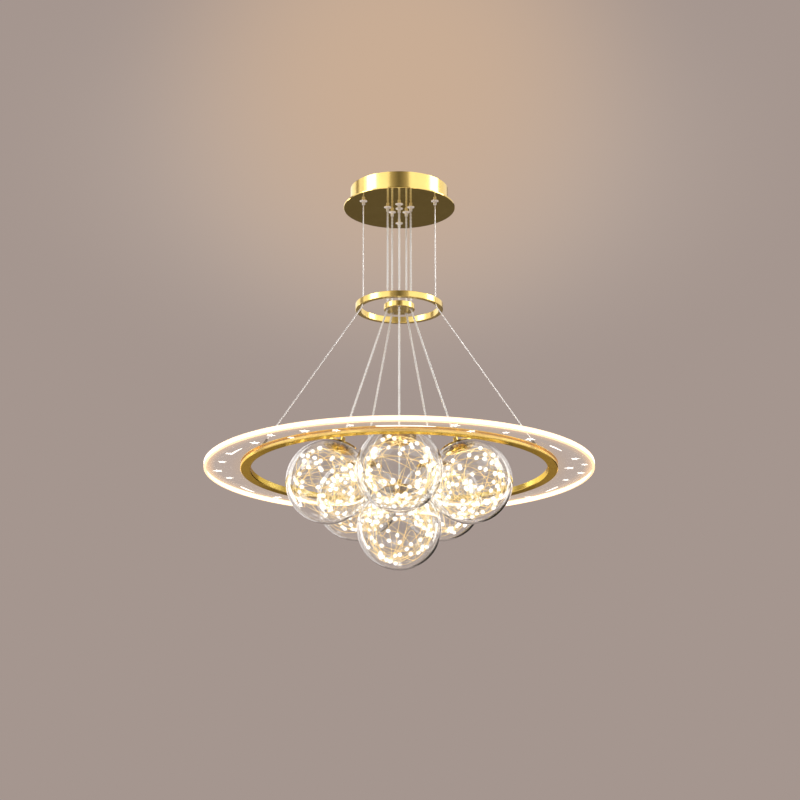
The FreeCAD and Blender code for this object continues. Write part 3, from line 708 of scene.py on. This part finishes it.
def make_grips():
    """Each grip's release plunger stands in its mouth, with its flange in the room above the lip."""
    outline = collar_outline(GRIP_MOUTH) + [
        (BARREL_RADIUS, None), (GRIP_BORE, None), (GRIP_BORE, GRIP_ROOM_TOP), (GRIP_ROOM, GRIP_ROOM_TOP),
        (GRIP_ROOM, -COLLAR_LIP), (GRIP_MOUTH, -COLLAR_LIP)]
    places = [polar(CABLE_CIRCLE, azimuth, 0) for azimuth in CABLE_PLACES.values()]
    make_fittings("cable_grips", "cable_grip_bodies", places, outline)


def make_glands():
    nose = -COLLAR_EDGE - COLLAR_DOME - GLAND_NOSE
    outline = [(GLAND_BORE, nose), (GLAND_NOSE_RADIUS - GLAND_NOSE_BEVEL, nose),
               (GLAND_NOSE_RADIUS, nose + GLAND_NOSE_BEVEL)]
    outline += collar_outline(GLAND_NOSE_RADIUS) + [(BARREL_RADIUS, None), (GLAND_BORE, None)]
    places = [polar(CORD_CIRCLE, azimuth, 0) for azimuth in OUTER_PLACES.values()] + [Vector((0, 0, 0))]
    make_fittings("cord_glands", "cord_gland_bodies", places, outline)


# Globes and light strings

def make_glass(name):
    """A blown shell with a ground and fire-polished hole at its top."""
    inner = GLOBE_RADIUS - GLOBE_WALL
    middle, lip = GLOBE_RADIUS - GLOBE_WALL / 2, GLOBE_WALL / 2
    edge = math.degrees(math.acos((GLASS_HOLE + lip) / middle))
    lip_centre = (middle * math.cos(math.radians(edge)), middle * math.sin(math.radians(edge)))
    outline = arc((0, 0), GLOBE_RADIUS, GLASS_POLE, edge, GLASS_STEPS)
    outline += arc(lip_centre, lip, edge, edge + 180, GLASS_LIP_STEPS)[1:-1]
    outline += arc((0, 0), inner, edge, GLASS_POLE, GLASS_STEPS)
    piece = turned("globe_" + name + "_glass", outline, ["clear_glass"], [0] * len(outline),
                   GLASS_SEGMENTS, globe_matrix(name))
    piece.data.set_sharp_from_angle(angle=SHARP_ANGLE)
    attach(piece, globe_body(name))
    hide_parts("glass_globe_" + name)


def string_bends(seed):
    """The wire is wound like a ball of yarn: round after round, each on a plane of its own."""
    draw = random.Random(seed)
    places = [Vector((0, 0, SLEEVE_UNDER)), Vector((0, 0, SLEEVE_UNDER - STRING_INLET))]
    axis = Vector(STRING_START_AXIS).normalized()
    spoke = Vector(STRING_START_SPOKE)
    for _ in range(STRING_TURNS):
        axis = (axis + Vector([draw.gauss(0, STRING_WANDER) for _ in range(3)])).normalized()
        spoke = (spoke - axis * spoke.dot(axis)).normalized()
        other = axis.cross(spoke)
        shift = draw.uniform(-STRING_SHIFT, STRING_SHIFT)
        for bend in range(STRING_BENDS):
            angle = 2 * math.pi * bend / STRING_BENDS
            round_spoke = spoke * math.cos(angle) + other * math.sin(angle)
            place = round_spoke * math.sqrt(1 - shift ** 2) + axis * shift
            place = place * (STRING_BALL * draw.uniform(STRING_DEEPEST, 1.0))
            if place.z < STRING_CEILING:
                places.append(place)
        spoke = places[-1].normalized()
    return places


def add_bead(points, faces, looks, centre, tangent, across, other):
    """A lamp bead: a bright core in a drop of clear resin, with a glowing shell round the drop. The drop is
    resin lit by the core, with painted glow added to it. The outer shell is only a painted halo of light that
    fades outwards.
    """
    for radius, look in ((BEAD_CORE, 1), (BEAD_DROP, 2), (BEAD_HALO, 3)):
        before = len(faces)
        sections = []
        for ring in range(BEAD_RINGS):
            angle = math.pi * (ring + 0.25) / (BEAD_RINGS - 0.5)
            place = centre - tangent * (BEAD_STRETCH * radius * math.cos(angle))
            sections.append(round_section(place, across, other, radius * math.sin(angle), BEAD_SIDES))
        add_tube(points, faces, sections)
        looks += [look] * (len(faces) - before)


def make_light_string(name, seed):
    line, along = evenly(smooth_route(string_bends(seed)), STRING_STEP)
    line = [point * min(1.0, STRING_REACH / point.length) for point in line]
    frames = frames_along(line)
    points, faces, looks = [], [], []
    for side in (-0.5, 0.5):
        before = len(faces)
        sections = []
        for centre, (_, across, other), distance in zip(line, frames, along):
            turn = distance / STRING_LAY
            off = (across * math.cos(turn) + other * math.sin(turn)) * (side * STRING_TWIN_GAP)
            sections.append(round_section(centre + off, across, other, STRING_WIRE, STRING_WIRE_SIDES))
        add_tube(points, faces, sections)
        looks += [0] * (len(faces) - before)
    bead_step = along[-1] / (BEAD_COUNT + 1)
    next_bead = bead_step
    for centre, (tangent, across, other), distance in zip(line, frames, along):
        if distance >= next_bead:
            add_bead(points, faces, looks, centre, tangent, across, other)
            next_bead += bead_step
    matrix = globe_matrix(name)
    points = [matrix @ point for point in points]
    piece = mesh_object("lights_" + name, points, faces,
                        ["gold_wire", "bead_core", "bead_drop", "bead_halo"], looks)
    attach(piece, globe_body(name))
    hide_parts("light_string_" + name)
    print("light string", name, "length", round(along[-1], 2))


# Lit ring

def make_panel():
    low, high, bevel, rim = PANEL_UNDER, PANEL_TOP, PANEL_BEVEL, PANEL_RADIUS
    outline = [
        (PANEL_INNER, low), (rim - PANEL_LIT_EDGE, low), (rim - bevel, low), (rim, low + bevel),
        (rim, high - bevel), (rim - bevel, high), (PANEL_INNER, high), (PANEL_INNER, TONGUE_TOP),
        (PANEL_TONGUE, TONGUE_TOP), (PANEL_TONGUE, TONGUE_UNDER), (PANEL_INNER, TONGUE_UNDER)]
    looks = [0, 2, 1, 1, 1, 0, 0, 0, 0, 0, 0]
    piece = turned("acrylic_ring", outline, ["clear_acrylic", "lit_rim", "lit_edge"], looks, PANEL_SEGMENTS)
    piece.data.polygons.foreach_set("use_smooth", [False] * len(piece.data.polygons))
    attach(piece, "root")
    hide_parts("acrylic_panel")


def star(radius, azimuth, size, turn):
    """Outline of a five-pointed star in the plane of the panel."""
    centre = polar(radius, azimuth, 0)
    corners = []
    for corner in range(10):
        reach = size if corner % 2 == 0 else size * STAR_NOTCH
        corners.append(centre + polar(reach, azimuth + turn + 36 * corner, 0))
    return corners


def streak(start, end):
    """A curved stroke, wide at one end and drawn out to a point."""
    width = STREAK_WIDTH * min(1.0, abs(end - start) / STREAK_SPAN)
    outer, inner = [], []
    for step in range(STREAK_STEPS + 1):
        share = step / STREAK_STEPS
        azimuth = start + (end - start) * share
        half = width / 2 * math.sqrt(max(0.0, 1 - share)) * min(1.0, STREAK_BLUNT + STREAK_SWELL * share)
        outer.append(polar(STREAK_RADIUS + half, azimuth, 0))
        inner.append(polar(STREAK_RADIUS - half, azimuth, 0))
    return outer + inner[::-1]


def make_engravings():
    """Stars and shooting stars, cut into the panel's underside and lit from its edges."""
    outlines = [streak(start, end) for start, end in STREAKS]
    for index, (azimuth, radius) in enumerate(STARS):
        size = STAR_SIZE * (1.0 - STAR_SHRINK * (index % STAR_SIZES))
        outlines.append(star(radius, azimuth, size, STAR_TURN * index))
    points, faces = [], []
    for outline in outlines:
        first, count = len(points), len(outline)
        for height in (PANEL_UNDER + ENGRAVING_LIFT, PANEL_UNDER + ENGRAVING_LIFT + ENGRAVING_DEPTH):
            points.extend(Vector((corner.x, corner.y, height)) for corner in outline)
        faces.append(tuple(first + corner for corner in reversed(range(count))))
        faces.append(tuple(first + count + corner for corner in range(count)))
        for corner in range(count):
            after = (corner + 1) % count
            faces.append((first + corner, first + after, first + count + after, first + count + corner))
    piece = mesh_object("engravings", points, faces, ["lit_engraving"], smooth=False)
    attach(piece, "root")


# Stage, lights and camera

def make_stage():
    half = FLOOR_SIDE / 2
    corners = [(-half, -half, FLOOR_HEIGHT), (half, -half, FLOOR_HEIGHT), (half, half, FLOOR_HEIGHT),
               (-half, half, FLOOR_HEIGHT)]
    made, tree, shader = material("floor")
    vary(tree, noise(tree, FLOOR_GRAIN, 2.0), dimmed(FLOOR_COLOUR, 0.99), FLOOR_COLOUR,
         shader.inputs["Base Color"])
    shader.inputs["Roughness"].default_value = 0.8
    MATERIALS["floor"] = made
    floor = mesh_object("floor", corners, [(0, 1, 2, 3)], ["floor"])


def spot(tree, direction, centre, size):
    """A soft oval round a direction: 1 in its middle, 0 at its edge."""
    place = tree.nodes.new("ShaderNodeMapping")
    place.vector_type = "TEXTURE"
    place.inputs["Location"].default_value = centre
    place.inputs["Scale"].default_value = (size[0], SPOT_DEPTH, size[1])
    tree.links.new(direction, place.inputs["Vector"])
    away = tree.nodes.new("ShaderNodeVectorMath")
    away.operation = "LENGTH"
    tree.links.new(place.outputs["Vector"], away.inputs[0])
    fade = tree.nodes.new("ShaderNodeMapRange")
    fade.interpolation_type = "SMOOTHERSTEP"
    fade.inputs["From Min"].default_value = 1.0
    fade.inputs["From Max"].default_value = 0.0
    tree.links.new(away.outputs["Value"], fade.inputs["Value"])
    return fade.outputs["Result"]


def blend(tree, factor, below, above):
    """One colour over another, which is a colour or an output, where the factor is 1."""
    made = tree.nodes.new("ShaderNodeMix")
    made.data_type = "RGBA"
    made.clamp_factor = True
    tree.links.new(factor, made.inputs["Factor"])
    if isinstance(below, tuple):
        made.inputs["A"].default_value = (*below, 1.0)
    else:
        tree.links.new(below, made.inputs["A"])
    made.inputs["B"].default_value = (*above, 1.0)
    return made.outputs["Result"]


def make_world():
    """What is seen is a beige wall with a warm glow on it. What lights the object is plain white."""
    world = bpy.data.worlds.new("studio")
    bpy.context.scene.world = world
    world.use_nodes = True
    tree = world.node_tree
    seen = tree.nodes["Background"]
    direction = tree.nodes.new("ShaderNodeTexCoord").outputs["Generated"]
    wash = spot(tree, direction, WASH_DIRECTION, WASH_SIZE)
    glow = spot(tree, direction, GLOW_DIRECTION, GLOW_SIZE)
    wall = blend(tree, wash, WALL_COLOUR, WASH_COLOUR)
    wall = blend(tree, glow, wall, GLOW_COLOUR)
    tree.links.new(wall, seen.inputs["Color"])
    light = tree.nodes.new("ShaderNodeBackground")
    light.inputs["Color"].default_value = (*LAMP_COLOUR, 1.0)
    light.inputs["Strength"].default_value = ROOM_LIGHT
    path = tree.nodes.new("ShaderNodeLightPath")
    total = path.outputs["Is Camera Ray"]
    for name in ("Is Glossy Ray", "Is Transmission Ray"):
        add = tree.nodes.new("ShaderNodeMath")
        add.operation = "ADD"
        add.use_clamp = True
        tree.links.new(total, add.inputs[0])
        tree.links.new(path.outputs[name], add.inputs[1])
        total = add.outputs["Value"]
    mix = tree.nodes.new("ShaderNodeMixShader")
    tree.links.new(total, mix.inputs["Fac"])
    tree.links.new(light.outputs["Background"], mix.inputs[1])
    tree.links.new(seen.outputs["Background"], mix.inputs[2])
    tree.links.new(mix.outputs["Shader"], tree.nodes["World Output"].inputs["Surface"])


def aim(thing, azimuth, elevation, distance):
    """Places a thing round the chandelier, facing it."""
    a, e = math.radians(azimuth), math.radians(elevation)
    away = Vector((math.sin(a) * math.cos(e), -math.cos(a) * math.cos(e), math.sin(e)))
    thing.location = Vector(LIT_MIDDLE) + away * distance
    thing.rotation_euler = away.to_track_quat("Z", "Y").to_euler()


def dark_card(name, azimuth, elevation, width, height, distance, middle, ends):
    """A dark card that only reflections show, and some glass."""
    made, tree, shader = material(name)
    shader.inputs["Base Color"].default_value = (0.0, 0.0, 0.0, 1.0)
    shader.inputs["Specular IOR Level"].default_value = 0.0
    shader.inputs["Emission Strength"].default_value = 1.0
    place = tree.nodes.new("ShaderNodeSeparateXYZ")
    tree.links.new(tree.nodes.new("ShaderNodeTexCoord").outputs["Generated"], place.inputs["Vector"])
    tree.links.new(ramp(tree, place.outputs["X"], [(0.0, ends), (0.5, middle), (1.0, ends)]),
                   shader.inputs["Emission Color"])
    MATERIALS[name] = made
    half, tall = width / 2, height / 2
    card = mesh_object(name, [(-half, -tall, 0), (half, -tall, 0), (half, tall, 0), (-half, tall, 0)],
                       [(0, 1, 2, 3)], [name])
    aim(card, azimuth, elevation, distance)
    card.visible_camera = False
    card.visible_diffuse = False
    card.visible_shadow = False
    card.visible_transmission = name in CARDS_IN_GLASS


def soft_light(name, azimuth, elevation, width, height, radiance, distance):
    """A white area lamp that the camera doesn't see. Some lamps aren't seen in glass, and some only there."""
    data = bpy.data.lights.new(name, "AREA")
    data.shape = "RECTANGLE"
    data.size = width
    data.size_y = height
    data.color = LAMP_COLOUR
    data.energy = radiance * width * height * math.pi
    lamp = bpy.data.objects.new(name, data)
    aim(lamp, azimuth, elevation, distance)
    lamp.visible_camera = False
    lamp.visible_transmission = name not in LAMPS_NOT_IN_GLASS
    lamp.visible_diffuse = lamp.visible_glossy = name not in LAMPS_ONLY_IN_GLASS
    bpy.context.scene.collection.objects.link(lamp)


def make_lights():
    for name, settings in LAMPS.items():
        soft_light(name, *settings)
    for name, settings in CARDS.items():
        dark_card(name, *settings)


def make_camera():
    data = bpy.data.cameras.new("camera")
    data.lens = CAMERA_LENS
    data.sensor_width = CAMERA_SENSOR
    camera = bpy.data.objects.new("camera", data)
    camera.location = CAMERA_PLACE
    camera.rotation_euler = (CAMERA_PITCH, 0, 0)
    bpy.context.scene.collection.objects.link(camera)
    bpy.context.scene.camera = camera


make_camera()
make_world()
make_lights()
make_stage()
dress_nodes()
make_cables()
make_feed_cords()
make_grips()
make_glands()
for index, globe_name in enumerate(GLOBE_NAMES):
    make_glass(globe_name)
    make_light_string(globe_name, STRING_SEED + index)
make_panel()
make_engravings()

bpy.context.scene.view_settings.view_transform = "Standard"
